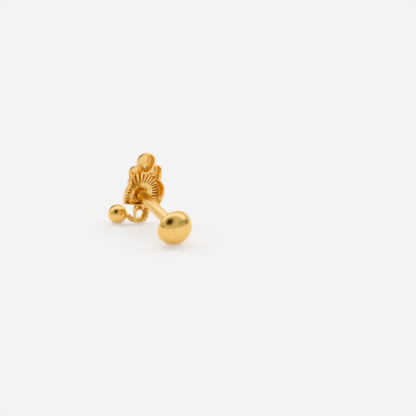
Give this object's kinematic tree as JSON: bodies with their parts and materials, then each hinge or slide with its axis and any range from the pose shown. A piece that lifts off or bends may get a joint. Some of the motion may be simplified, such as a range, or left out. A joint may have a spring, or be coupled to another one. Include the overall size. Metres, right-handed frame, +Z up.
{
  "type": "screw-back stud earring",
  "caption": "Small gold screw-back stud with a hollow petalled flower on a tubular post, a domed screw and a polished ball on a twisted wire loop.",
  "frame": {"origin": "under the middle of the earring, on the surface it rests on", "axes": "+Z up, -Y the way the post points from the flower to its screw (12.6 degrees below level), +X to the right when the screw faces the viewer"},
  "size_m": [0.0076, 0.0158, 0.0116],
  "materials": {
    "stud_body": "polished yellow gold",
    "screw": "polished yellow gold",
    "ball_drop": "polished yellow gold"
  },
  "bodies": {
    "stud": {"stud_body": "stud_body", "ball_drop": "ball_drop"},
    "screw_back": {"screw": "screw"}
  },
  "joints": [
    {"name": "screw_travel", "type": "slide", "parent": "stud", "child": "screw_back", "axis": [0, -0.9759, -0.2181], "range_m": [0, 0.0042]}
  ]
}
